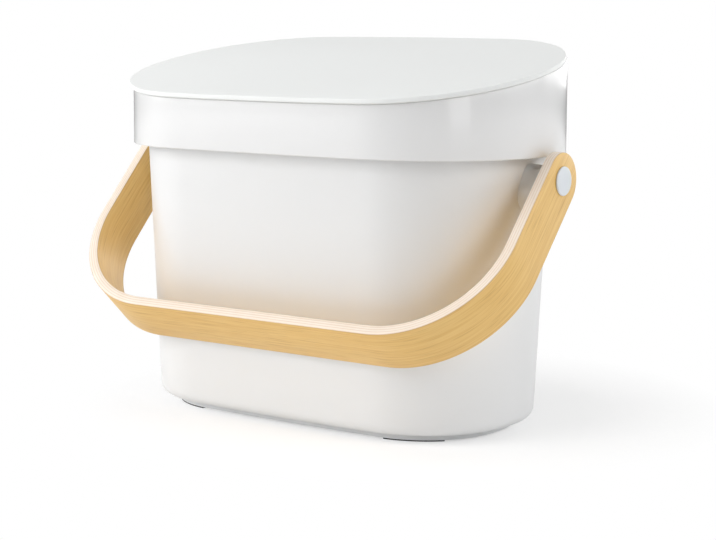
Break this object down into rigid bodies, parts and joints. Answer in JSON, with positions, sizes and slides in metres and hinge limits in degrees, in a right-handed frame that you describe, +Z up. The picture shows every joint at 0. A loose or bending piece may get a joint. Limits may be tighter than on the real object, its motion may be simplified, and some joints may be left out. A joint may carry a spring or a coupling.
{
  "type": "compost caddy with hinged lid",
  "caption": "Oval kitchen compost caddy: a tapered bucket, a tall lift-off collar with a sloping hinged lid, and a bentwood carrying handle that swings over the top.",
  "frame": {"origin": "under the middle of the whole object as it stands, from the handle's front to the hinge's back, on the surface that it stands on", "axes": "+X to the right seen from the front, -Y the front, +Z up"},
  "size_m": [0.2726, 0.1628, 0.203],
  "materials": {
    "bucket_plastic": "matte white moulded plastic",
    "collar_plastic": "glossy white moulded plastic",
    "lid_plastic": "soft matte white moulded plastic",
    "seal_rubber": "soft grey silicone",
    "steel": "plain steel",
    "bentwood": "lacquered bent ply with a pale edge",
    "nylon": "natural nylon",
    "brass": "turned brass",
    "cap_plastic": "satin light grey plastic",
    "foot_rubber": "matte black rubber"
  },
  "bodies": {
    "bucket": {"bucket": "bucket_plastic", "insert_left": "brass", "insert_right": "brass", "screw_left": "steel", "screw_right": "steel", "cap_left": "cap_plastic", "cap_right": "cap_plastic", "foot_front_left": "foot_rubber", "foot_front_right": "foot_rubber", "foot_rear_left": "foot_rubber", "foot_rear_right": "foot_rubber"},
    "collar": {"collar": "collar_plastic", "hinge_pin": "steel"},
    "lid": {"lid": "lid_plastic", "lid_seal": "seal_rubber"},
    "handle": {"handle": "bentwood", "bush_left": "nylon", "bush_right": "nylon"}
  },
  "joints": [
    {"name": "collar_lift", "type": "slide", "parent": "bucket", "child": "collar", "axis": [0, 0, 1], "range_m": [0, 0.04]},
    {"name": "lid_hinge", "type": "hinge", "parent": "collar", "child": "lid", "pos_m": [0, 0.07869, 0.19954], "axis": [-1, 0, 0], "range_deg": [0, 110]},
    {"name": "handle_swing", "type": "hinge", "parent": "bucket", "child": "handle", "pos_m": [0, 0.00544, 0.133], "axis": [-1, 0, 0], "range_deg": [0, 273.85]}
  ]
}
